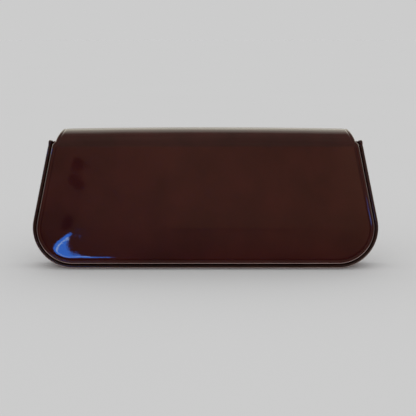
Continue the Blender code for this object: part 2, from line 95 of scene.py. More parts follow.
# Places taken from the frame.
BACK_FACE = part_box("back_leather")[1].y
CORD_LOW, CORD_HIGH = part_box("back_piping")
CORD_RADIUS = (CORD_HIGH.y - CORD_LOW.y) / 2
BACK_CORD_Y = (CORD_HIGH.y + CORD_LOW.y) / 2
FRONT_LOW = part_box("front_leather")[0]
FRONT_FACE = FRONT_LOW.y - FRONT_LOW.z * math.tan(FRONT_LEAN)
GUSSET_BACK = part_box("gusset")[1].y

# Heights of the back cord's ends, the front wall's edge, the front cord's ears and the slip pocket.
RIM = 87 * MM
FRONT_TOP = 88.8 * MM
FRONT_EAR = 90 * MM
SLIP_TOP = 58 * MM

# Sheets, their depths under a wall's face, and the distances of their edges inside the body's outline.
LEATHER = 1.1 * MM
LINING = 0.6 * MM
LINING_DEPTH = 2.9 * MM
SLIP_DEPTH = 3.7 * MM
FLAP_INSET = 3.7 * MM
FLAP_RAISE = 0.8 * MM
WALL_INSET = 3.1 * MM
HEM = 2.25 * MM
DIVIDER_INSET = 4.8 * MM
COIN_INSET = 7.2 * MM


def circle_through(points):
    """Centre and radius of the circle through three points (y, z)."""
    first, *others = np.array(points)
    spread = others - first
    sides = (np.square(others) - np.square(first)).sum(axis=1)
    centre = np.linalg.solve(2 * spread, sides)
    return centre, math.hypot(*(first - centre))


FOLD_LINES = [JOINTS[name]["pos_m"][1:] for name in FOLD_JOINTS]
(FOLD_Y, FOLD_Z), FOLD_AXIS_RADIUS = circle_through(FOLD_LINES[:3])
FOLD_RADIUS = CAD_HIGH.z - FOLD_Z
FOLD_SWEEP = math.pi - FRONT_LEAN
FOLD_STEP = FOLD_SWEEP / len(FOLD_LINES)

# The flap's face, as a plane that leans back and touches the fold.
FLAP_TOP_Y = FOLD_Y - FOLD_RADIUS * math.cos(FRONT_LEAN)
FLAP_TOP_Z = FOLD_Z + FOLD_RADIUS * math.sin(FRONT_LEAN)
FLAP_LENGTH = FLAP_TOP_Z / math.cos(FRONT_LEAN)


# ---- paths: from pattern to space


def on_fold(angle, h):
    """A point (y, z) of the fold at an angle from the back, h outside the leather's face."""
    return FOLD_Y + (FOLD_RADIUS + h) * np.cos(angle), FOLD_Z + (FOLD_RADIUS + h) * np.sin(angle)


def back_path(v, h):
    """The back wall and its half of the fold."""
    y, z = on_fold(np.maximum(v - FOLD_Z, 0.0) / FOLD_RADIUS, h)
    return np.where(v < FOLD_Z, BACK_FACE + h, y), np.where(v < FOLD_Z, v, z)


def leaning(start_y, start_z, v, h):
    """A wall that leans back: v runs up it from a point of its face, and h stands out from the face."""
    y = start_y + v * math.sin(FRONT_LEAN) - h * math.cos(FRONT_LEAN)
    z = start_z + v * math.cos(FRONT_LEAN) + h * math.sin(FRONT_LEAN)
    return y, z


def flap_path(v, h):
    """The flap and its half of the fold."""
    y, z = on_fold(FOLD_SWEEP - np.maximum(v - FLAP_LENGTH, 0.0) / FOLD_RADIUS, h)
    wall_y, wall_z = leaning(FLAP_TOP_Y, FLAP_TOP_Z, v - FLAP_LENGTH, h)
    return np.where(v < FLAP_LENGTH, wall_y, y), np.where(v < FLAP_LENGTH, wall_z, z)


def front_path(v, h):
    """The front wall, under the flap."""
    return leaning(FRONT_FACE, 0.0, v, h)


def upright(y):
    """The path of an upright sheet inside the wallet that faces the front."""
    return lambda v, h: (y - h, v + 0.0 * h)


# ---- meshes


def grid_quads(rows, columns, wrap_rows=False, wrap_columns=False):
    """Quads between neighbouring rows of a grid of vertex numbers."""
    index = np.arange(rows * columns).reshape(rows, columns)
    if wrap_columns:
        index = np.concatenate([index, index[:, :1]], axis=1)
    if wrap_rows:
        index = np.concatenate([index, index[:1]], axis=0)
    corners = [index[:-1, :-1], index[:-1, 1:], index[1:, 1:], index[1:, :-1]]
    return np.stack(corners, axis=-1).reshape(-1, 4)


def loft(rings, closed=False):
    """A solid through rings of points. Its ends are capped, unless it closes on itself."""
    rings = np.asarray(rings)
    rows, columns = rings.shape[:2]
    faces = grid_quads(rows, columns, wrap_rows=closed, wrap_columns=True).tolist()
    if not closed:
        faces.append(list(range(columns))[::-1])
        faces.append(list(range((rows - 1) * columns, rows * columns)))
    return rings.reshape(-1, 3), faces


def loft_grid(x, y, z):
    """A loft through rings whose x, y and z are grids, or single rows or columns of them."""
    return loft(np.stack(np.broadcast_arrays(x, y, z), axis=-1))


def make_mesh(name, parts, attribute=None):
    """One object from closed parts: (points, faces, material). All faces are turned outwards."""
    points, faces, slots, materials = [], [], [], []
    for part_points, part_faces, material in parts:
        if material not in materials:
            materials.append(material)
        start = len(points)
        points.extend(tuple(p) for p in part_points)
        faces.extend([tuple(int(i) + start for i in face) for face in part_faces])
        slots.extend([materials.index(material)] * len(part_faces))
    mesh = bpy.data.meshes.new(name)
    mesh.from_pydata(points, [], faces)
    for material in materials:
        mesh.materials.append(material)
    mesh.polygons.foreach_set("material_index", slots)
    mesh.shade_smooth()
    if attribute is not None:
        layer = mesh.attributes.new("edge", "FLOAT", "POINT")
        layer.data.foreach_set("value", attribute.astype(np.float32))
    work = bmesh.new()
    work.from_mesh(mesh)
    holes = [edge for edge in work.edges if edge.is_boundary]
    if holes:
        bmesh.ops.holes_fill(work, edges=holes)
    bmesh.ops.recalc_face_normals(work, faces=work.faces)
    work.to_mesh(mesh)
    work.free()
    made = bpy.data.objects.new(name, mesh)
    bpy.context.scene.collection.objects.link(made)
    return made


def smooth(share):
    """Eases a share between 0 and 1 in and out."""
    return share * share * (3 - 2 * share)


def circle(count):
    """Cosines and sines round a circle."""
    turn = np.linspace(0, 2 * math.pi, count, endpoint=False)
    return np.cos(turn), np.sin(turn)


def tube(centres, radii):
    """A round cord along a path of points that lies in a plane."""
    tangent = np.gradient(centres, axis=0)
    tangent /= np.linalg.norm(tangent, axis=1)[:, None]
    thinnest = np.ptp(centres, axis=0).argmin()
    side = np.cross(tangent, np.eye(3)[thinnest])
    side /= np.linalg.norm(side, axis=1)[:, None]
    up = np.cross(side, tangent)
    c, s = circle(20)
    spokes = side[:, None] * c[:, None] + up[:, None] * s[:, None]
    return loft(centres[:, None] + radii[:, None, None] * spokes)


def lathe(profile, centre, axis, closed):
    """A turned part from (radius, distance along the axis) points."""
    side = Vector(axis).orthogonal().normalized()
    up = Vector(axis).cross(side)
    c, s = circle(48)
    spokes = np.outer(c, side) + np.outer(s, up)
    return loft([centre + np.array(axis) * along + radius * spokes for radius, along in profile], closed)


def rounded_rectangle(length, width, radius, steps=5):
    """A flat outline around the origin."""
    corners = []
    for turn, (a, b) in enumerate(((1, 1), (-1, 1), (-1, -1), (1, -1))):
        angles = (turn + np.linspace(0, 1, steps)) * math.pi / 2
        along = a * (length / 2 - radius) + radius * np.cos(angles)
        across = b * (width / 2 - radius) + radius * np.sin(angles)
        corners.append(np.stack([along, across], axis=-1))
    return np.concatenate(corners)


def centre_of(low, high):
    return (np.array(low) + np.array(high)) / 2


def shrunk(outline, distance):
    """An outline whose widest points are a distance further in."""
    middle = outline.mean(axis=0)
    reach = np.abs(outline - middle).max(axis=0)
    return middle + (outline - middle) * (1 - distance / reach)


def at_height(outline, z):
    return np.column_stack([outline, np.full(len(outline), z)])


def plate(outline, low, high, bevel):
    """A flat plate with rounded edges, from an outline of (x, y) and two heights."""
    turns = np.linspace(0, math.pi / 2, 4)
    lower = [(low + bevel * (1 - math.cos(a)), bevel * (1 - math.sin(a))) for a in turns]
    upper = [(low + high - height, inset) for height, inset in lower[::-1]]
    return loft([at_height(shrunk(outline, inset), height) for height, inset in lower + upper])


# ---- patterns and sheets

# The fold steps in beside the ears between these shares of the way up to its top.
NOTCH_START, NOTCH_END = 0.10, 0.24

# Width of the band along an edge that a thin sheet's rings fill, and of the one that shows wear.
EDGE_BAND, WEAR_BAND = 6 * MM, 2.4 * MM

# Depth of the line pressed along a thin sheet's edge, as a share of the sheet's thickness.
CREASE = 0.16


@dataclass
class Pattern:
    """A flat outline in (x, v), alike left and right: flat bottom, round corners, then sides up to the top.

    corner_x and corner_v are the middle of the round corner. Past the tangent, where the fold starts, the
    sides step in beside the ears, and then narrow to `middle`, half the width of the fold's top.
    """

    path: object
    corner_x: float
    corner_v: float
    radius: float
    top: float
    lean: float = 0.0
    tangent: float = None
    middle: float = None
    walls: int = 30
    turns: int = 14

    def half(self, v, inset):
        """Half the width at v above the round corner, a distance inside the edge."""
        radius = self.radius - inset
        start = self.corner_v + radius * math.sin(self.lean)
        held = v if self.tangent is None else np.minimum(v, self.tangent)
        wide = self.corner_x + radius * math.cos(self.lean) - (held - start) * math.tan(self.lean)
        if self.tangent is None:
            return wide
        length = FOLD_SWEEP / 2 * FOLD_RADIUS
        t = np.clip((v - self.tangent) / length, 0.0, 1.0)
        slope = -length * math.tan(self.lean)
        eased = wide * (1 + 2 * t) * (1 - t) ** 2 + (self.middle - inset) * smooth(t)
        step = np.clip((t - NOTCH_START) / (NOTCH_END - NOTCH_START), 0.0, 1.0)
        return eased + (slope * t - FOLD_NOTCH * smooth(step)) * (1 - t) ** 2

    def side(self, inset):
        """Points (x, v) up the right side, in the same number of rows at any inset."""
        radius = self.radius - inset
        angles = np.linspace(-math.pi / 2, self.lean, self.turns + 1)
        x = self.corner_x + radius * np.cos(angles)
        v = self.corner_v + radius * np.sin(angles)
        end = self.top - inset if self.tangent is None else self.tangent
        wall = v[-1] + (end - v[-1]) * np.linspace(0.0, 1.0, self.walls + 1)[1:]
        if self.tangent is not None:
            steps = np.arange(1, 2 * FOLD_STEPS + 2) * FOLD_STEP / FOLD_STEPS
            wall = np.concatenate([wall, self.tangent + FOLD_RADIUS * steps])
        return np.concatenate([x, self.half(wall, inset)]), np.concatenate([v, wall])

    def depth(self, x, v):
        """How far points are inside the sides and the bottom edge."""
        across = np.abs(x) - self.corner_x
        up = v - self.corner_v
        side = (self.half(v, 0.0) - np.abs(x)) * math.cos(self.lean)
        bottom = v - (self.corner_v - self.radius)
        corner = self.radius - np.hypot(np.maximum(across, 0), up)
        below = up < np.maximum(across, 0) * math.tan(self.lean)
        return np.where(below, np.where(across < 0, np.minimum(bottom, side), corner), side)


class Sheet:
    """A sheet from a pattern: a face, an edge that follows a profile of (inset, h), and an underside.

    Its points are columns of x, v, h, inset and row. Rows run from the left side to the right side.
    """

    def __init__(self, pattern, profile, across, relief=None, centre_x=0.0):
        self.pattern = pattern
        self.across = across
        self.open = pattern.tangent is not None
        self.rows = pattern.walls + pattern.turns + (2 * FOLD_STEPS + 1) * self.open
        rings = [self.ring(inset, h) for inset, h in profile]
        size = rings[0].shape[1]
        self.points = np.concatenate(rings, axis=1)
        self.faces = grid_quads(len(rings), size, wrap_columns=not self.open)
        self.fill(0, 1)
        self.fill((len(rings) - 1) * size, -1)
        x, v, h, self.inset, self.row = self.points
        if relief is not None:
            h = h + relief(pattern, x, v)
        y, z = pattern.path(v, h)
        self.placed = np.stack([x + centre_x, y, z], axis=-1)

    def ring(self, inset, h):
        """One loop: down the left side, along the bottom, up the right side and back along a closed top."""
        x, v = self.pattern.side(inset)
        rows = np.arange(self.rows + 1)
        along = np.linspace(-1, 1, self.across + 1)[1:-1]
        level = np.ones(len(along))
        parts = [(-x[::-1], v[::-1], rows[::-1]), (along * x[0], v[0] * level, 0 * level), (x, v, rows)]
        if not self.open:
            parts.append((-along * x[-1], v[-1] * level, self.rows * level))
        x, v, rows = np.hstack(parts)
        return np.stack([x, v, np.full(len(x), h), np.full(len(x), inset), rows])

    def fill(self, start, turn):
        """Fills the ring that starts at a point number with rows of quads. turn is -1 for the underside."""
        rows, across = self.rows, self.across
        low = start + rows
        grid = np.zeros((rows + 1, across + 1), int)
        grid[:, 0] = low - np.arange(rows + 1)
        grid[0] = low + np.arange(across + 1)
        grid[:, across] = low + across + np.arange(rows + 1)
        if not self.open:
            grid[rows, 1:across] = low + across + rows + np.arange(across - 1, 0, -1)
        inner = grid[1 : rows + self.open]
        between = self.points.shape[1] + np.arange(len(inner) * (across - 1))
        inner[:, 1:across] = between.reshape(len(inner), across - 1)
        left, right = self.points[:, inner[:, :1]], self.points[:, inner[:, across:]]
        made = left + (right - left) * np.arange(1, across) / across
        self.points = np.concatenate([self.points, made.reshape(5, -1)], axis=1)
        corners = [grid[:-1, :-1], grid[1:, :-1], grid[1:, 1:], grid[:-1, 1:]]
        quads = np.stack(corners, axis=-1).reshape(-1, 4)
        self.faces = np.concatenate([self.faces, quads[:, ::turn]])

    def part(self, low, high):
        """Points, faces and edge nearness between two rows, and the sheet's own smooth normals there."""
        row = self.row[self.faces]
        kept = self.faces[(row.min(axis=1) >= low) & (row.max(axis=1) <= high)]
        used, faces = np.unique(kept, return_inverse=True)
        edge = np.clip(1 - self.inset[used] / WEAR_BAND, 0, 1)
        return self.placed[used], faces.reshape(-1, 4).tolist(), edge, self.normals()[used]

    def normals(self):
        """Smooth normals over the whole sheet, so that they stay the same on both sides of a cut."""
        quads = self.placed[self.faces]
        each = np.cross(quads[:, 2] - quads[:, 0], quads[:, 3] - quads[:, 1])
        total = np.zeros_like(self.placed)
        for corner in self.faces.T:
            np.add.at(total, corner, each)
        return total / np.linalg.norm(total, axis=1)[:, None]


def build_sheet(name, sheet, material, low=0, high=math.inf, extra=()):
    """One object from a sheet, or from the rows of it between two cuts."""
    points, faces, edge, normals = sheet.part(low, high)
    attribute = np.concatenate([edge, np.zeros(sum(len(part[0]) for part in extra))])
    made = make_mesh(name, [(points, faces, material), *extra], attribute)
    if sheet.open:
        outwards = np.array([vertex.normal for vertex in made.data.vertices])
        if (outwards * normals).sum() < 0:
            normals = -normals
        made.data.normals_split_custom_set_from_vertices([tuple(normal) for normal in normals])
    return made


def thin_edge(thickness, base=0.0, crease=True):
    """Profile of a thin sheet with a rounded edge, and a pressed line just inside it."""
    half = thickness / 2
    profile = [(EDGE_BAND, base)]
    if crease:
        line = ((2.6, 0.0), (2.1, 0.4), (1.8, 1.0), (1.5, 0.4), (1.1, 0.0))
        profile += [(inset * MM, base - deep * CREASE * thickness) for inset, deep in line]
    for angle in np.linspace(0, math.pi, 7):
        profile.append((half * (1 - math.sin(angle)), base - half + half * math.cos(angle)))
    profile.append((EDGE_BAND, base - thickness))
    return profile


def inner_edge(depth):
    """Profile of a lining sheet, which faces inwards at a depth under a wall's face."""
    return [(inset, -h - depth) for inset, h in thin_edge(LINING)]


# ---- materials


class Nodes:
    """Short forms for a node tree. add() makes a node, sets or links its inputs, and returns it."""

    def __init__(self, tree):
        self.tree = tree

    def add(self, kind, inputs=None, **settings):
        node = self.tree.nodes.new("ShaderNode" + kind)
        for name, value in settings.items():
            setattr(node, name, value)
        self.set(node, inputs or {})
        return node

    def set(self, node, inputs):
        for name, value in inputs.items():
            if isinstance(value, bpy.types.NodeSocket):
                self.tree.links.new(value, node.inputs[name])
            else:
                node.inputs[name].default_value = value

    def math(self, kind, first, second=0.0):
        return self.add("Math", {0: first, 1: second}, operation=kind).outputs[0]

    def product(self, *values):
        return reduce(lambda first, second: self.math("MULTIPLY", first, second), values)

    def sum(self, *values):
        return reduce(lambda first, second: self.math("ADD", first, second), values)

    def curve(self, value, low, high, to_low=0.0, to_high=1.0, kind="LINEAR"):
        inputs = {"Value": value, "From Min": low, "From Max": high, "To Min": to_low, "To Max": to_high}
        return self.add("MapRange", inputs, interpolation_type=kind).outputs[0]

    def step(self, value, low, high):
        """0 at low and 1 at high, with a smooth rise between them."""
        return self.curve(value, low, high, kind="SMOOTHSTEP")

    def mix(self, share, first, second):
        """A colour between two, as share goes from 0 to 1. Each is a socket or (red, green, blue)."""
        ends = [(*colour, 1) if isinstance(colour, tuple) else colour for colour in (first, second)]
        return self.add("Mix", {0: share, 6: ends[0], 7: ends[1]}, data_type="RGBA").outputs[2]


class Material(Nodes):
    """A node material, with textures placed in the piece's own coordinates."""

    def __init__(self, name):
        self.made = bpy.data.materials.new(name)
        self.made.use_nodes = True
        super().__init__(self.made.node_tree)
        self.shader = self.tree.nodes["Principled BSDF"]
        self.place = self.add("TexCoord").outputs["Object"]

    def finish(self, inputs):
        self.set(self.shader, inputs)
        return self.made

    def noise(self, scale, detail=2.0, stretch=(1, 1, 1)):
        moved = self.add("Mapping", {"Vector": self.place, "Scale": stretch})
        return self.add("TexNoise", {"Vector": moved.outputs[0], "Scale": scale, "Detail": detail}).outputs[0]

    def wave(self, scale, direction):
        wave = self.add("TexWave", {"Vector": self.place, "Scale": scale}, bands_direction=direction)
        return wave.outputs["Fac"]

    def edge(self):
        """Nearness to the sheet's edge, from 0 to 1."""
        return self.add("Attribute", attribute_name="edge").outputs["Fac"]

    def bump(self, height, distance, strength=1.0):
        return self.add("Bump", {"Height": height, "Distance": distance, "Strength": strength}).outputs[0]


def darker(colour, share):
    return tuple(share * value for value in colour)


def patent_leather(name, dark, light, gloss):
    """A clear gloss coat over burgundy leather: slight mottling, a soft ripple, scuffed edges."""
    m = Material(name)
    mottle = m.curve(m.noise(38.0, 3.0), 0.35, 0.65)
    scuffs = m.curve(m.noise(900.0, 2.0, (1, 1, 0.25)), 0.56, 0.66)
    wear = m.product(m.curve(m.edge(), 0.45, 1.0), scuffs)
    smears = m.curve(m.noise(150.0, 4.0), 0.5, 0.75, 0.0, 0.2)
    ripple = m.sum(m.noise(60.0, 0.0), m.product(m.noise(500.0, 1.0), 0.03))
    return m.finish({
        "Base Color": m.mix(wear, m.mix(mottle, dark, light), WORN_LEATHER),
        "Roughness": 0.4,
        "Specular IOR Level": 0.12,
        "Coat Weight": 1.0,
        "Coat Roughness": m.curve(m.sum(wear, smears), 0, 1, gloss, 0.16),
        "Normal": m.bump(m.noise(1500.0, 3.0), 0.04 * MM, 0.5),
        "Coat Normal": m.bump(ripple, 0.16 * MM),
    })


def grained_leather(name, dark, light, roughness):
    """Lining leather: fine pebbled grain with soft creases and slightly burnished edges."""
    m = Material(name)
    cells = m.add("TexVoronoi", {"Vector": m.place, "Scale": 1500.0}, feature="DISTANCE_TO_EDGE").outputs[0]
    grain = m.curve(cells, 0.0, 0.35)
    mottle = m.noise(60.0, 4.0)
    burnish = m.curve(m.edge(), 0.5, 1.0, 1.0, 0.35)
    return m.finish({
        "Base Color": m.mix(m.product(m.curve(mottle, 0.3, 0.7, 0.62, 0.92), burnish), dark, light),
        "Roughness": roughness,
        "Normal": m.bump(m.sum(grain, m.product(mottle, 0.8)), 0.09 * MM),
    })


def woven(name, dark, light, pitch, directions, sheen):
    """Cloth: two sets of threads that cross, with uneven yarn and a soft sheen."""
    m = Material(name)
    bands_per_unit = 20
    scale = 2 * math.pi / (bands_per_unit * pitch)
    threads = m.math("MAXIMUM", *(m.wave(scale, direction) for direction in directions))
    yarn = m.product(threads, m.curve(m.noise(900.0, 2.0), 0.3, 0.7, 0.75, 1.0))
    return m.finish({
        "Base Color": m.mix(yarn, dark, light),
        "Roughness": 0.8,
        "Sheen Weight": sheen,
        "Normal": m.bump(yarn, 0.12 * MM),
    })


def metal(name, colour, roughness):
    """Plated metal with fine brushed scratches and a little tarnish."""
    m = Material(name)
    scratch = m.noise(2500.0, 2.0, (0.08, 1, 1))
    tarnish = m.curve(m.noise(260.0, 3.0), 0.4, 0.7)
    return m.finish({
        "Base Color": m.mix(tarnish, colour, darker(colour, 0.72)),
        "Metallic": 1.0,
        "Roughness": m.curve(scratch, 0.3, 0.7, roughness, roughness + 0.15),
        "Normal": m.bump(scratch, 0.01 * MM, 0.4),
    })


def fibre_board(name):
    """Grey-brown stiffener board with pressed fibres."""
    m = Material(name)
    fibres = m.noise(700.0, 4.0, (1, 1, 0.15))
    return m.finish({
        "Base Color": m.mix(fibres, (0.30, 0.23, 0.16), (0.50, 0.41, 0.30)),
        "Roughness": 0.92,
        "Normal": m.bump(fibres, 0.06 * MM),
    })


def sewing_thread(name, colour):
    """Twisted thread."""
    m = Material(name)
    twist = m.wave(900.0, "DIAGONAL")
    return m.finish({
        "Base Color": m.mix(twist, darker(colour, 0.45), colour),
        "Roughness": 0.6,
        "Sheen Weight": 0.3,
        "Normal": m.bump(twist, 0.04 * MM),
    })


def pale_floor(name):
    """Matt studio floor with barely visible unevenness."""
    m = Material(name)
    return m.finish({
        "Base Color": m.mix(m.noise(3.0, 2.0), (0.600, 0.600, 0.600), (0.608, 0.608, 0.608)),
        "Roughness": 0.95,
        "Specular IOR Level": 0.0,
    })


WORN_LEATHER = (0.040, 0.010, 0.008)
PATENT = patent_leather("patent_leather", (0.024, 0.0014, 0.0013), (0.033, 0.0030, 0.0026), 0.02)
PIPING = patent_leather("piping_leather", (0.016, 0.0040, 0.0030), (0.026, 0.0075, 0.0055), 0.10)
LINING_LEATHER = grained_leather("lining_leather", (0.050, 0.008, 0.008), (0.105, 0.018, 0.017), 0.48)
FABRIC = woven("lining_fabric", (0.035, 0.005, 0.006), (0.105, 0.018, 0.019), 0.45 * MM, "XZ", 0.08)
TAPE = woven("zip_tape", (0.020, 0.003, 0.003), (0.065, 0.012, 0.012), 0.7 * MM, "XY", 0.1)
BOARD = fibre_board("stiffener_board")
GOLD = metal("gold_metal", (0.95, 0.77, 0.47), 0.16)
MAGNET = metal("magnet", (0.22, 0.22, 0.23), 0.38)
THREAD = sewing_thread("sewing_thread", (0.13, 0.022, 0.020))


def dress(piece, *nodes):
    """Hides the CAD nodes that a piece stands for.

    The piece is not used.
    """
    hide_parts(*nodes)


def finish(piece, body, *nodes):
    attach(piece, body)
    dress(piece, *nodes)


def metal_piece(name, node, body, parts, sharp=35):
    """Gold parts, whose edges stay sharp where they turn by more than an angle."""
    made = make_mesh(name, [(*part, GOLD) for part in parts])
    made.data.set_sharp_from_angle(angle=math.radians(sharp))
    finish(made, body, node)


def sheet_piece(name, node, body, material, *shape):
    finish(build_sheet(name, Sheet(*shape), material), body, node)


# ---- the outer skin and its lining

# Profile of a turned edge, from the face round to the hem inside: (inset, h) in millimetres. A shallow
# pressed line runs along the shoulder, and the hem is thin where it lies under the lining.
TURNED_EDGE = [(inset * MM, h * MM) for inset, h in (
    (9.0, 0.0), (6.0, 0.0), (4.2, 0.0), (3.5, -0.03), (3.1, -0.11), (2.8, -0.24), (2.55, -0.33),
    (2.35, -0.33), (2.1, -0.25), (1.8, -0.16), (1.5, -0.13), (1.2, -0.16), (0.9, -0.25), (0.6, -0.41),
    (0.35, -0.64), (0.15, -0.95), (0.03, -1.27), (0.0, -1.55), (0.03, -1.9), (0.15, -2.25), (0.35, -2.55),
    (0.65, -2.77), (1.0, -2.86), (1.9, -2.86), (2.1, -2.7), (2.15, -2.24), (5.0, -2.22), (5.0, -2.16),
    (1.1, -2.14), (1.1, -1.16), (9.0, -1.1),
)]
CROWN = 0.9 * MM
CROWN_REACH = 32 * MM

# Soft unevenness of a face: height, waves across and up in radians per metre, and shift.
WAVES = ((0.07 * MM, 41, 23, 0.4), (0.05 * MM, -27, 66, 1.7), (0.035 * MM, 88, 31, 2.6))
LINING_WAVE = (0.05 * MM, 90, 70, 2)
LINING_WAVE_REACH = 12 * MM

# Shares of the step between two fold lines, passed to make_skin as a skin's and a lining's reach.
SKIN_REACH = 0.6
LINING_REACH = 0.5


def crown(pattern, x, v):
    """The face bulges slightly in from the edge, with a soft unevenness."""
    inside = np.clip(pattern.depth(x, v) / CROWN_REACH, 0.0, 1.0)
    bulge = CROWN * (1 - (1 - inside) ** 2)
    for height, across, up, shift in WAVES:
        bulge = bulge + height * inside * np.sin(across * x + up * v + shift)
    return bulge


def fold_angle(pattern, v):
    """The angle round the fold: 0 on the wall below it."""
    return np.clip((v - pattern.tangent) / FOLD_RADIUS, 0.0, math.pi)


def fold_bow(pattern, x, v):
    """The fold's top is higher in the middle than at its ends."""
    middle = 1 - (x / CAD_HIGH.x) ** 2
    return FOLD_BOW * (middle - 0.55) * np.sin(fold_angle(pattern, v)) ** 2


def skin_relief(pattern, x, v):
    """The crown dies away over the fold."""
    share = np.cos(np.minimum(fold_angle(pattern, v), math.pi / 2)) ** 2
    return crown(pattern, x, v) * share + fold_bow(pattern, x, v)


def lining_relief(pattern, x, v):
    """Lining leather lies a little unevenly, and bows with the fold."""
    inside = np.clip(pattern.depth(x, v) / LINING_WAVE_REACH, 0.0, 1.0)
    height, across, up, shift = LINING_WAVE
    return height * inside * np.sin(across * x + shift) * np.sin(up * v) + fold_bow(pattern, x, v)


def walled(path, inset, raised=0.0, tangent=None, top=None, middle=FOLD_HALF, walls=60, turns=20):
    """A pattern with the body's own outline, a distance inside it."""
    outline = (CORNER_X, CORNER_RADIUS + raised, CORNER_RADIUS - inset, top, SIDE_LEAN)
    return Pattern(path, *outline, tangent, middle, walls, turns)


def bend_between(piece):
    """Bakes a piece of the skin's placement into its mesh."""
    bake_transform(piece)


def make_skin(kind, names, material, reach, inset, *edge_and_relief, **shape):
    """A skin's two sheets, cut into four pieces along the fold."""
    back = walled(back_path, WALL_INSET + inset, tangent=FOLD_Z, **shape)
    flap = walled(flap_path, FLAP_INSET + inset, FLAP_RAISE, tangent=FLAP_LENGTH, **shape)
    back, flap = [Sheet(pattern, *edge_and_relief) for pattern in (back, flap)]
    base = back.rows - 2 * FOLD_STEPS - 1
    cut, middle = base + FOLD_STEPS, base + 2 * FOLD_STEPS
    cuts = ((back, 0, cut), (back, cut, middle), (flap, cut, middle), (flap, 0, cut))
    nodes = ((f"back_{kind}", f"fold_{kind}_1"), (f"fold_{kind}_2",), (), (f"flap_{kind}", f"fold_{kind}_3"))
    for strip, (sheet, low, high) in enumerate(cuts):
        piece = build_sheet(names[strip], sheet, material, low, high)
        dress(piece, *nodes[strip])
        bend_between(piece)


def make_skins():
    names = ("back_skin", "fold_skin_back", "fold_skin_front", "flap_skin")
    make_skin("leather", names, PATENT, SKIN_REACH, 0.0, TURNED_EDGE, 120, skin_relief)
    names = ("back_lining_sheet", "fold_lining_back", "fold_lining_front", "flap_lining_sheet")
    shape = {"middle": FOLD_HALF - HEM, "walls": 40, "turns": 12}
    edge = inner_edge(LINING_DEPTH)
    make_skin("lining", names, LINING_LEATHER, LINING_REACH, HEM, edge, 70, lining_relief, **shape)


# ---- front wall

# The crown's share of the flap's, and how far below the top edge it starts to die away.
FRONT_CROWN, FRONT_FADE = 0.4, 20 * MM

# How far the slip pocket's mouth sags, and the height the sag starts from.
SLIP_SAG, SLIP_SAG_FROM = 0.25 * MM, 30 * MM


def front_relief(pattern, x, v):
    """A flatter crown than the flap's, which dies away at the top edge."""
    return FRONT_CROWN * crown(pattern, x, v) * np.clip((FRONT_TOP - v) / FRONT_FADE, 0, 1) ** 0.5


def slip_relief(pattern, x, v):
    """The slip pocket's middle sags a little towards its mouth."""
    up = np.clip((v - SLIP_SAG_FROM) / (SLIP_TOP - SLIP_SAG_FROM), 0, 1)
    return -SLIP_SAG * up * (1 - (x / pattern.corner_x) ** 2)


def make_front_wall():
    inset = WALL_INSET + HEM
    outer = walled(front_path, WALL_INSET, top=FRONT_TOP, walls=40, turns=16)
    inner = walled(front_path, inset, top=FRONT_TOP - HEM, walls=30, turns=12)
    slip = walled(front_path, inset + 0.5 * MM, top=SLIP_TOP, walls=16, turns=12)
    lining, pocket = inner_edge(LINING_DEPTH), inner_edge(SLIP_DEPTH)
    for name, node, material, *shape in (
        ("front_panel", "front_leather", PATENT, outer, TURNED_EDGE, 90, front_relief),
        ("front_lining_sheet", "front_lining", LINING_LEATHER, inner, lining, 60),
        ("slip_pocket_sheet", "front_slip_pocket", LINING_LEATHER, slip, pocket, 60, slip_relief),
    ):
        sheet_piece(name, node, "front_wall", material, *shape)


# ---- piping and gusset

# A cord's ends thicken to a knob, and narrow behind it: place, width and share of the cord's radius.
CORD_KNOBS = ((1.5 * MM, 1.3 * MM, 0.16), (4 * MM, 1 * MM, -0.07))
THINNEST_END = 0.25 * MM

# The cord's leather is gathered at the lower corners: height, reach, share of its radius and pitch. The
# gathers grow over GATHER_RAMP, from the corner's middle outwards.
GATHER_AT, GATHER_REACH, GATHER_SHARE, GATHER_PITCH = 10 * MM, 12 * MM, 0.035, 2.1 * MM
GATHER_RAMP = 6 * MM


def rim_path(top):
    """Points (x, v) round the body from the left top to the right top, and their inward directions."""
    walls, turns = 60, 26
    x, v = walled(None, 0.0, top=top, walls=walls, turns=turns).side(0.0)
    angles = np.concatenate([np.linspace(-math.pi / 2, SIDE_LEAN, turns + 1), np.full(walls, SIDE_LEAN)])
    bottom = np.linspace(-1, 1, 61)[1:-1] * x[0]
    xs = np.concatenate([-x[::-1], bottom, x])
    vs = np.concatenate([v[::-1], np.zeros(len(bottom)), v])
    in_x = np.concatenate([np.cos(angles)[::-1], np.zeros(len(bottom)), -np.cos(angles)])
    in_v = np.concatenate([-np.sin(angles)[::-1], np.ones(len(bottom)), -np.sin(angles)])
    return xs, vs, in_x, in_v


def hump(value, middle, width):
    """1 at the middle, dying away on both sides."""
    return np.exp(-(((value - middle) / width) ** 2))


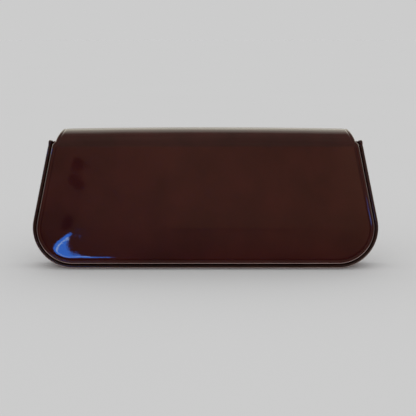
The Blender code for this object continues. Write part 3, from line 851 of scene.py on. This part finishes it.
def cord(depth_path, tip):
    """A leather-covered cord round the seam, gathered at the corners, with a small knob at each end."""
    x, v, in_x, in_v = rim_path(tip)
    y, z = depth_path(v + CORD_RADIUS * in_v)
    seam = np.stack([x + CORD_RADIUS * in_x, y, z], axis=-1)
    along = np.cumsum(np.linalg.norm(np.diff(seam, axis=0, prepend=seam[:1]), axis=1))
    fine = np.linspace(0, along[-1], 900)
    centres = np.stack([np.interp(fine, along, column) for column in seam.T], axis=-1)
    end = np.minimum(fine, fine[-1] - fine)
    dome = np.sqrt(np.clip(1 - (1 - end / CORD_RADIUS) ** 2, 0, 1))
    knob = 1 + sum(share * hump(end, middle, width) for middle, width, share in CORD_KNOBS)
    radii = CORD_RADIUS * np.where(end < CORD_RADIUS, dome, 1.0) * knob
    corner = np.clip(1 - np.abs(centres[:, 2] - GATHER_AT) / GATHER_REACH, 0, 1)
    outer = np.clip((np.abs(centres[:, 0]) - CORNER_X) / GATHER_RAMP, 0, 1)
    radii = radii * (1 + GATHER_SHARE * corner * outer * np.sin(fine * 2 * math.pi / GATHER_PITCH))
    kept = radii > THINNEST_END
    return tube(centres[kept], radii[kept])


def make_piping():
    front = cord(lambda v: front_path(v, np.full_like(v, -CORD_RADIUS)), FRONT_EAR)
    back = cord(lambda v: (np.full_like(v, BACK_CORD_Y), v), RIM)
    finish(make_mesh("front_rim_cord", [(*front, PIPING)]), "front_wall", "front_piping")
    finish(make_mesh("back_rim_cord", [(*back, PIPING)]), "body", "back_piping")


# The gusset folds inwards up to PLEAT, from PLEAT_LOW upwards, with soft ripples. It starts GUSSET_DEPTH
# behind the front wall's face, and ends TUCK past its box in the CAD. Its lining has a flange at both walls.
PLEAT, PLEAT_LOW, PLEAT_HEIGHT, RIPPLE = 3.4 * MM, 22 * MM, 50 * MM, 0.06 * MM
GUSSET_INSET, GUSSET_DEPTH, TUCK = 1.0 * MM, 2.8 * MM, 0.2 * MM
FLANGE, FLANGE_THICKNESS = 3.4 * MM, 0.45 * MM


def gusset_band(name, node, material, inset, thickness, flange=0.0):
    """The band between the two walls, with a soft inward pleat that opens towards the mouth.

    A band with a flange is turned along each seam, and lies flat on the wall inside.
    """
    x, v, in_x, in_v = (values[:, None] for values in rim_path(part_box(node)[1].z))
    front, back = front_path(v, -GUSSET_DEPTH)[0], GUSSET_BACK + TUCK
    across = np.linspace(0, 1, 15)
    deep = PLEAT * np.clip((v - PLEAT_LOW) / PLEAT_HEIGHT, 0, 1) ** 1.3
    soft = RIPPLE * np.sin(9 * across + 300 * x + 200 * v)
    outer = inset + deep * 0.5 * (1 - np.cos(2 * math.pi * across)) + soft
    y = front + (back - front) * across
    inner, inner_y = outer + thickness, y
    if flange:
        ends = ((0, 0), (1, 1))
        outer = np.pad(outer, ends, constant_values=inset + flange)
        inner = np.pad(inner, ends, constant_values=inset + flange)
        y = np.pad(y, ends, "edge")
        inner_y = np.clip(y, front + FLANGE_THICKNESS, back - FLANGE_THICKNESS)
    depth = np.hstack([outer, inner[:, ::-1]])
    y = np.hstack([y, inner_y[:, ::-1]])
    band = make_mesh(name, [(*loft_grid(x + depth * in_x, y, v + depth * in_v), material)])
    band.data.set_sharp_from_angle(angle=math.radians(50))
    dress(band, node)
    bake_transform(band)


def make_gussets():
    gusset_band("gusset_band", "gusset", PATENT, GUSSET_INSET, LEATHER)
    gusset_band("gusset_lining_band", "gusset_lining", FABRIC, HEM, LINING, FLANGE)


# ---- card pockets

# A stitch's length, the distance from one to the next, its radius, and how far its middle stands up.
STITCH, STITCH_PITCH, STITCH_RADIUS, STITCH_ARCH = 2.3 * MM, 3.1 * MM, 0.19 * MM, 0.12 * MM
TOWARDS_FRONT = np.array([0.0, -1.0, 0.0])


def stitches(first, last):
    """A row of short thread stitches along a straight line, each sunk halfway into the sheet."""
    length = np.linalg.norm(last - first)
    along = (last - first) / length
    steps = np.linspace(0, 1, 7)
    arch = np.outer(STITCH_ARCH * np.sin(math.pi * steps), TOWARDS_FRONT)
    radii = STITCH_RADIUS * np.sqrt(np.clip(1 - (2 * steps - 1) ** 4, 0.08, 1))
    c, s = circle(6)
    spokes = np.outer(c, np.cross(along, TOWARDS_FRONT)) + np.outer(s, TOWARDS_FRONT)
    points, faces = [], []
    for start in np.arange(STITCH_PITCH / 2, length - STITCH, STITCH_PITCH):
        centres = first + np.outer(start + steps * STITCH, along) + arch
        stitch_points, stitch_faces = loft(centres[:, None] + radii[:, None, None] * spokes)
        faces.extend([[i + len(points) for i in face] for face in stitch_faces])
        points.extend(stitch_points)
    return points, faces, THREAD


def card_pocket(name, node):
    """A leather card pocket: rounded lower corners, a pressed line along the edge, sewn on three sides."""
    low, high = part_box(node)
    centre = (low.x + high.x) / 2
    half = (high.x - low.x) / 2 - 0.3 * MM
    corner = 2.5 * MM
    sag, mouth = 0.15 * MM, 18 * MM

    def dip(pattern, x, v):
        """The middle sags a little towards the mouth."""
        up = np.clip((v - high.z + mouth) / mouth, 0, 1)
        return -sag * up * np.cos(x / half * 1.5)

    pattern = Pattern(upright(low.y), half - corner, low.z + corner, corner, high.z, walls=14, turns=5)
    sheet = Sheet(pattern, thin_edge(high.y - low.y), 30, dip, centre)
    seam = 1.8 * MM
    side, bottom, top = half - seam, low.z + seam, high.z - 2 * MM
    path = ((-side, top), (-side, bottom), (side, bottom), (side, top))
    line = np.array([(centre + x, low.y - 0.02 * MM, z) for x, z in path])
    rows = [stitches(*line[i : i + 2]) for i in range(3)]
    finish(build_sheet(name, sheet, LINING_LEATHER, extra=rows), "body", node)


def make_card_pockets():
    for column in ("left", "right"):
        for row in range(1, 5):
            card_pocket(f"card_slot_{column}_{row}", f"card_pocket_{column}_{row}")
    low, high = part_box("card_divider")
    pattern = walled(upright(low.y), DIVIDER_INSET, top=high.z, walls=30, turns=12)
    profile = thin_edge(high.y - low.y)
    sheet_piece("divider_sheet", "card_divider", "body", LINING_LEATHER, pattern, profile, 60)


# ---- coin pocket and zip

ZIP_Y = (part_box("zip_teeth_front")[0].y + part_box("zip_teeth_back")[1].y) / 2
ZIP_Z = (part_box("zip_teeth_front")[0].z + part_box("zip_teeth_front")[1].z) / 2
ZIP_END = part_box("zip_teeth_front")[1].x
TAPE_LOW, TAPE_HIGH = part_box("zip_tape_front")

# The coin pocket's walls stand COIN_HALF off its middle, and flare out to the zip's tape from FLARE_FROM on.
COIN_HALF, FLARE_FROM, FLARE_HEIGHT, TAPE_OVERLAP = 2.55 * MM, 62 * MM, 10 * MM, 0.3 * MM

# The tape: half its thickness, and the height of its bead. Ribs are a share of its thickness.
TAPE_HALF, BEAD, RIB, RIB_PITCH = 0.25 * MM, 0.16 * MM, 0.18, 1.0 * MM
TOOTH_PITCH = 2.6 * MM

# A tooth's rings from foot to head, in millimetres: distance from the middle, half width, half height.
TOOTH = ((2.05, 0.62, 0.90), (1.5, 0.66, 0.92), (1.05, 0.50, 0.80), (0.55, 0.42, 0.66), (0.1, 0.56, 0.72),
         (-0.35, 0.50, 0.58), (-0.5, 0.30, 0.36))


def coin_path(side):
    """A coin pocket wall: upright, then flared out to meet the zip's tape. side is -1 at the front."""
    wide = abs(TAPE_LOW.y - ZIP_Y) - TAPE_OVERLAP

    def path(v, h):
        flare = (wide - COIN_HALF) * smooth(np.clip((v - FLARE_FROM) / FLARE_HEIGHT, 0, 1))
        return ZIP_Y + side * (COIN_HALF + flare + h), v + 0.0 * h

    return path


def coin_relief(pattern, x, v):
    """The cloth waves a little, and less towards the zip."""
    return 0.12 * MM * np.sin(60 * x) * np.clip((60 * MM - v) / (50 * MM), 0, 1)


def make_coin_pocket():
    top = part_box("coin_pocket_front")[1].z
    edge = thin_edge(LINING, base=0.3 * MM, crease=False)
    for name, side in (("front", -1), ("back", 1)):
        pattern = walled(coin_path(side), COIN_INSET, top=top, walls=40, turns=12)
        node = f"coin_pocket_{name}"
        sheet_piece(f"coin_wall_{name}", node, "body", FABRIC, pattern, edge, 60, coin_relief)


def zip_tape(side):
    """A ribbed cotton tape, with a bead along the edge that carries the teeth."""
    half = (TAPE_HIGH.y - TAPE_LOW.y) / 2
    middle = ZIP_Y + side * (ZIP_Y - (TAPE_HIGH.y + TAPE_LOW.y) / 2)
    face = np.linspace(-1, 1, 9)
    across = np.concatenate([face, face[::-1]])
    above = np.repeat([1, -1], len(face))
    thick = TAPE_HALF * np.sqrt(np.clip(1 - across**4, 0.1, 1))
    bead = BEAD * hump(-side * across, 0.75, 0.25)
    x = np.linspace(TAPE_LOW.x, TAPE_HIGH.x, 690)[:, None]
    rib = 1 + RIB * np.sin(x * 2 * math.pi / RIB_PITCH)
    return loft_grid(x, middle + across * half, ZIP_Z + above * (thick * rib + bead))


def squarish(value, power):
    """Pushes a cosine or sine outwards, so that a circle turns into a rounded square."""
    return np.sign(value) * np.abs(value) ** power


def zip_tooth(x, side):
    """One metal tooth: a foot clamped on the tape, a neck, and a cupped head past the middle line."""
    c, s = (squarish(value, 0.5) for value in circle(10))
    away, wide, high = MM * np.array(TOOTH).T[..., None]
    return loft_grid(x + wide * c, ZIP_Y + side * away, ZIP_Z + high * s)


def make_zip():
    count = int(2 * ZIP_END / TOOTH_PITCH)
    for name, side, shift in (("front", -1, 0.25), ("back", 1, 0.75)):
        tape = make_mesh(f"zip_ribbon_{name}", [(*zip_tape(side), TAPE)])
        finish(tape, "body", f"zip_tape_{name}")
        teeth = [zip_tooth((i + shift) * TOOTH_PITCH - ZIP_END, side) for i in range(count)]
        metal_piece(f"zip_tooth_row_{name}", f"zip_teeth_{name}", "body", teeth, 50)
    for name in ("left", "right"):
        low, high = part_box(f"zip_stop_{name}")
        outline = rounded_rectangle(high.x - low.x, high.y - low.y, 0.7 * MM) + centre_of(low, high)[:2]
        metal_piece(f"zip_end_{name}", f"zip_stop_{name}", "body", [plate(outline, low.z, high.z, 0.35 * MM)])


def slider_outline(length, width):
    """Seen from above: a rounded shield, wide where the two rows of teeth enter."""
    c, s = circle(40)
    a, b = squarish(c, 0.6), squarish(s, 0.6)
    return np.stack([-a * length / 2, b * width / 2 * (1 - 0.16 * a)], axis=-1)


def slider_bail(x, y, foot, rise):
    """The strap over the slider's back that holds the pull."""
    turns = np.linspace(0, math.pi, 21)
    rings = []
    for across, up in zip(squarish(np.cos(turns), 0.55), squarish(np.sin(turns), 0.55)):
        inner = (x + 2.1 * MM * across, foot + (rise - 0.4 * MM) * up)
        outer = (x + 3.0 * MM * across, foot + (rise + 0.3 * MM) * up)
        corners = ((inner, -0.62), (inner, 0.62), (outer, 0.72), (outer, -0.72))
        rings.append([(at_x, y + side * MM, at_z) for (at_x, at_z), side in corners])
    return loft(rings)


def make_slider():
    low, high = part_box("zip_slider")
    middle = centre_of(low, high)[:2]
    shield = middle + slider_outline(high.x - low.x, high.y - low.y)
    post = rounded_rectangle(1.8 * MM, 1.3 * MM, 0.4 * MM) + (high.x - 1.6 * MM, middle[1])
    throat, thick, sunk = 1.2 * MM, 0.9 * MM, 0.3 * MM
    top = ZIP_Z + throat + thick
    axis_x = JOINTS["zip_pull_turn"]["pos_m"][0]
    parts = [
        plate(shield, ZIP_Z + throat, top, 0.3 * MM),
        plate(shield, ZIP_Z - throat - thick, ZIP_Z - throat, 0.3 * MM),
        plate(post, ZIP_Z - throat - sunk, ZIP_Z + throat + sunk, 0.05 * MM),
        slider_bail(axis_x, middle[1], top - sunk, high.z - top),
    ]
    metal_piece("zip_runner", "zip_slider", "zip_slider", parts)


def make_pull():
    """The pull: a slim tab with rounded ends, and a slot that the bail passes through."""
    low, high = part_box("zip_pull")
    middle = centre_of(low, high)
    length, width = high.x - low.x, high.y - low.y
    tab = rounded_rectangle(length, width, 2.2 * MM, steps=8)
    tab[:, 1] *= 1 - 0.12 * tab[:, 0] / length
    tab += middle[:2]
    slot = rounded_rectangle(3.3 * MM, 2.3 * MM, 0.7 * MM, steps=8) + (low.x + 2.6 * MM, middle[1])
    bevel = 0.25 * MM
    outside = ((bevel, low.z), (0.0, low.z + bevel), (0.0, high.z - bevel), (bevel, high.z))
    rings = [at_height(shrunk(tab, inset), z) for inset, z in outside]
    rings += [at_height(shrunk(slot, -inset), z) for inset, z in outside[::-1]]
    metal_piece("zip_tab", "zip_pull", "zip_pull", [loft(rings, closed=True)])


# ---- magnetic snap

# The turned halves of the snap, in millimetres: radius and place along the axis. The case's places are
# shares of half its depth.
CASE_WIDTH = 14 * MM
CASE = (
    (2.7, 0.45), (3.0, 0.86), (3.5, 1.0), (4.6, 1.0), (5.6, 0.96), (6.4, 0.78), (6.9, 0.35), (7.0, -0.5),
    (6.9, -0.96), (6.55, -0.96), (6.5, -0.4), (6.1, 0.25), (5.4, 0.5), (3.4, 0.5), (2.9, 0.4),
)
STUD = (
    (1.2, -1.48), (2.0, -1.4), (2.0, -0.22), (6.6, -0.22), (6.95, -0.1), (7.0, 0.05), (6.8, 0.22),
    (6.2, 0.34), (5.0, 0.36), (3.4, 0.38), (2.7, 0.46), (2.4, 0.7), (2.35, 1.2), (2.15, 1.42), (1.6, 1.48),
)


def turned_half(name, node, body, profile, depth, outwards, closed):
    """One half of the snap, which faces out of the front wall or into it."""
    axis = (0.0, -outwards * math.cos(FRONT_LEAN), outwards * math.sin(FRONT_LEAN))
    places = [(radius * MM, along * depth) for radius, along in profile]
    metal_piece(name, node, body, [lathe(places, centre_of(*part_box(node)), axis, closed)], 60)


def make_snap():
    """The socket on the front wall and the stud under the flap, both turned from thin plated metal."""
    low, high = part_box("snap_socket_case")
    deep = (high.y - low.y - CASE_WIDTH * math.sin(FRONT_LEAN)) / 2
    turned_half("snap_cap", "snap_socket_case", "front_wall", CASE, deep, 1, True)
    turned_half("snap_pin", "snap_stud", "flap", STUD, MM, -1, False)


make_skins()
make_front_wall()
make_piping()
make_gussets()
make_card_pockets()
make_coin_pocket()
make_zip()
make_slider()
make_pull()
make_snap()

for node, material in (
    ("back_board", BOARD), ("flap_board", BOARD), ("front_board", BOARD), ("snap_magnet", MAGNET),
    ("snap_socket_base", GOLD), ("snap_socket_washer", GOLD), ("snap_stud_washer", GOLD),
):
    mesh = frame["nodes"][node].data
    mesh.materials.clear()
    mesh.materials.append(material)


# ---- stage

LENS = 85
CAMERA_HEIGHT = math.radians(10)
CAMERA_DISTANCE = 0.683
LOOK_AT = Vector((0.0017, -0.002, 0.0418))


def make_camera():
    camera = bpy.data.objects.new("camera", bpy.data.cameras.new("camera"))
    bpy.context.scene.collection.objects.link(camera)
    camera.data.lens = LENS
    back = Vector((0.0, -math.cos(CAMERA_HEIGHT), math.sin(CAMERA_HEIGHT)))
    camera.location = LOOK_AT + CAMERA_DISTANCE * back
    camera.rotation_euler = (-back).to_track_quat("-Z", "Y").to_euler()
    bpy.context.scene.camera = camera


PALE = (0.604, 0.604, 0.604)

# What polished leather reflects, by the angle from the front: above, and at the sides and below.
ROOM_ABOVE = (
    (0, (0.12, 0.12, 0.09)), (60, (0.14, 0.13, 0.10)), (92, (0.24, 0.21, 0.17)), (112, (1.1, 1.08, 0.95)),
    (128, (1.8, 1.75, 1.5)), (150, (1.6, 1.55, 1.35)), (165, (0.62, 0.61, 0.57)), (180, (0.50, 0.50, 0.48)),
)
ROOM_BELOW = (
    (0, (0.31, 0.155, 0.095)), (24, (0.30, 0.15, 0.09)), (34, (0.02, 0.01, 0.01)), (74, (0.03, 0.02, 0.02)),
    (85, (0.5, 0.40, 0.37)), (98, (1.0, 0.80, 0.76)), (122, (0.45, 0.37, 0.34)), (145, (0.24, 0.19, 0.17)),
    (180, (0.28, 0.21, 0.19)),
)

# Patches of the room in front: centre and size in the (x, z) of a direction. A blue window low on the left,
# with a pale bar and a shade across it; two dark spots above it, one slanted; and a window at the far left.
WINDOW_SKY = (0.25, 2.6, 11.0)
WINDOW_BAR = (4.5, 7.0, 13.0)
SPOT_COLOUR = (0.01, 0.0, 0.0)
WINDOW_SHAPE = ((-0.150, -0.218), (0.072, 0.048))
WINDOW_SHADE = ((-0.083, -0.203), (0.068, 0.042))
DARK_SPOTS = (((-0.165, -0.064), (0.026, 0.020), 0.6), ((-0.176, -0.116), (0.030, 0.020), 0.0))
EDGE_WINDOW = ((-0.985, 0.104), (0.032, 0.008))

# The room in front gets brighter to the right and up, and a narrow band straight below is much brighter.
BRIGHTER_RIGHT, BRIGHTER_UP = 1.5, 5.0
DIMMEST, BRIGHTEST = -0.65, 0.6
BAND_WIDTH, BAND_GAIN = 0.18, 10.0

# Diffuse light: its level, and how much it gains upwards and towards the front.
SOFT_LEVEL, SOFT_UP, SOFT_FRONT = 0.6, 0.6, 0.5


class Studio(Nodes):
    """The world's node tree. x, y and z are the direction, and front is 1 for the half in front."""

    def __init__(self, tree):
        super().__init__(tree)
        self.direction = self.add("TexCoord").outputs["Generated"]
        self.x, self.y, self.z = self.add("SeparateXYZ", {0: self.direction}).outputs
        self.front = self.step(self.y, 0.0, -0.5)

    def ellipse(self, centre, size, slant=0.0):
        """How far (x, z) is from a centre, as a share of an ellipse's half width and half height."""
        up = self.math("SUBTRACT", self.z, centre[1])
        across = self.sum(self.math("SUBTRACT", self.x, centre[0]), self.product(up, slant))
        shares = [self.math("DIVIDE", away, half) for away, half in zip((across, up), size)]
        return self.math("SQRT", self.sum(*(self.product(share, share) for share in shares)))

    def ramp(self, value, stops):
        node = self.add("ValToRGB", {"Fac": value})
        while len(node.color_ramp.elements) < len(stops):
            node.color_ramp.elements.new(0.5)
        for element, (degrees, colour) in zip(node.color_ramp.elements, stops):
            element.position = degrees / 180
            element.color = (*colour, 1)
        return node.outputs[0]

    def room(self):
        """The room's colour in a direction, with its uneven brightness."""
        share = self.math("DIVIDE", self.math("ARCCOSINE", self.product(self.y, -1.0)), math.pi)
        upper = self.step(self.z, -0.08, 0.15)
        colour = self.mix(upper, self.ramp(share, ROOM_BELOW), self.ramp(share, ROOM_ABOVE))
        patches = self.add("TexNoise", {"Vector": self.direction, "Scale": 5.0, "Detail": 1.0}).outputs[0]
        slope = self.sum(self.product(self.x, BRIGHTER_RIGHT), self.product(self.z, BRIGHTER_UP))
        tilt = self.product(self.curve(slope, -1.35, 0.05, DIMMEST, BRIGHTEST), self.front)
        band = self.curve(self.math("ABSOLUTE", self.y), 0.0, BAND_WIDTH, BAND_GAIN, 0.0)
        under = self.product(self.step(self.z, -0.3, -0.7), band)
        bright = self.product(self.sum(1.0, tilt, under), self.curve(patches, 0.3, 0.7, 0.8, 1.2))
        return self.add("VectorMath", {0: colour, 3: bright}, operation="SCALE").outputs[0]

    def front_patches(self, room):
        """The dark spots and the two windows, laid over the room's colour."""
        for shape in DARK_SPOTS:
            spot = self.product(self.step(self.ellipse(*shape), 1.25, 0.7), self.front)
            room = self.mix(spot, room, SPOT_COLOUR)
        far = self.ellipse(*WINDOW_SHAPE)
        unshaded = self.step(self.ellipse(*WINDOW_SHADE), 0.9, 1.15)
        window = self.product(self.step(far, 1.06, 0.94), self.front, unshaded)
        bar = self.product(self.step(far, 0.58, 0.64), self.step(far, 0.74, 0.68))
        room = self.mix(window, room, self.mix(bar, WINDOW_SKY, WINDOW_BAR))
        edge = self.product(self.step(self.ellipse(*EDGE_WINDOW), 1.1, 0.9), self.step(self.y, -0.02, -0.15))
        return self.mix(edge, room, WINDOW_SKY)


def make_world():
    """Even studio light. Reflections see a dim warm room in front, a bright ceiling behind, and a window."""
    world = bpy.data.worlds.new("studio")
    bpy.context.scene.world = world
    world.use_nodes = True
    world.cycles.sampling_method = "NONE"
    nodes = Studio(world.node_tree)
    rays = nodes.add("LightPath").outputs
    soft = nodes.sum(SOFT_LEVEL, nodes.product(nodes.z, SOFT_UP), nodes.product(nodes.y, -SOFT_FRONT))
    seen = nodes.mix(rays["Is Diffuse Ray"], nodes.front_patches(nodes.room()), soft)
    seen = nodes.mix(rays["Is Camera Ray"], seen, PALE)
    world.node_tree.links.new(seen, world.node_tree.nodes["Background"].inputs["Color"])


def make_stage():
    """A pale floor that shows only to the eye and to diffuse light, and the world."""
    points = [(-30, -30, 0), (30, -30, 0), (30, 30, 0), (-30, 30, 0)]
    mesh = bpy.data.meshes.new("floor")
    mesh.from_pydata(points, [], [(0, 1, 2, 3)])
    mesh.materials.append(pale_floor("pale_floor"))
    floor = bpy.data.objects.new("floor", mesh)
    bpy.context.scene.collection.objects.link(floor)
    floor.visible_glossy = False
    make_world()
    bpy.context.scene.view_settings.view_transform = "Standard"


make_camera()
make_stage()
